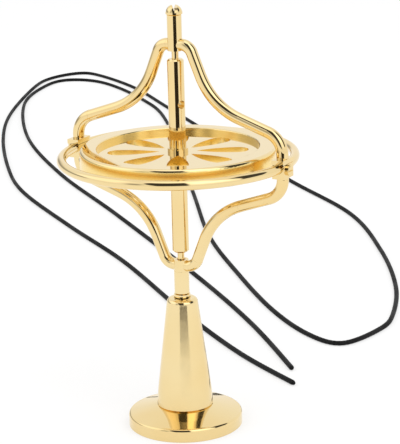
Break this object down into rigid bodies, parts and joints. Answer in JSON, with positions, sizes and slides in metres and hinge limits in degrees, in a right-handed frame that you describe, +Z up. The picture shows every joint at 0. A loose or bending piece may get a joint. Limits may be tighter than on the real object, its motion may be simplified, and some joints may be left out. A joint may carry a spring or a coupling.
{
  "type": "gyroscope on stand",
  "caption": "Toy gyroscope: flywheel with petal openings on a spindle, held in bell-shaped yokes and a guard ring, on a turned pedestal, with a loose pull string.",
  "frame": {"origin": "centre of the base disc's underside", "axes": "+Z up along the column and the spindle, +X in the yokes' plane"},
  "size_m": [0.3284, 0.4395, 0.1169],
  "materials": {
    "polished_gold": "polished pale gold plating",
    "satin_gold": "satin pale gold plating",
    "bronze": "plain turned bearing bronze",
    "steel": "turned steel",
    "string": "black braided string"
  },
  "bodies": {
    "stand": {"base_disc": "polished_gold", "column": "satin_gold", "base_screw": "steel", "pull_string": "string"},
    "foot": {"foot_knob": "polished_gold"},
    "frame": {"foot_stem": "polished_gold", "lower_yoke": "polished_gold", "upper_yoke": "polished_gold", "guard_ring": "polished_gold", "side_screws": "polished_gold", "top_post": "polished_gold", "top_knob": "polished_gold", "upper_bearing": "bronze", "lower_bearing": "bronze"},
    "rotor": {"rotor_wheel": "polished_gold", "hub_sleeve": "polished_gold", "spindle": "polished_gold", "upper_pivot": "polished_gold", "lower_pivot": "polished_gold"}
  },
  "joints": [
    {"name": "lean", "type": "hinge", "parent": "stand", "child": "foot", "pos_m": [0, 0, 0.03725], "axis": [0, 1, 0], "range_deg": [-20, 20]},
    {"name": "turn", "type": "hinge", "parent": "foot", "child": "frame", "pos_m": [0, 0, 0.03725], "axis": [0, 0, 1], "continuous": true},
    {"name": "spin", "type": "hinge", "parent": "frame", "child": "rotor", "pos_m": [0, 0, 0.076], "axis": [0, 0, 1], "continuous": true}
  ]
}
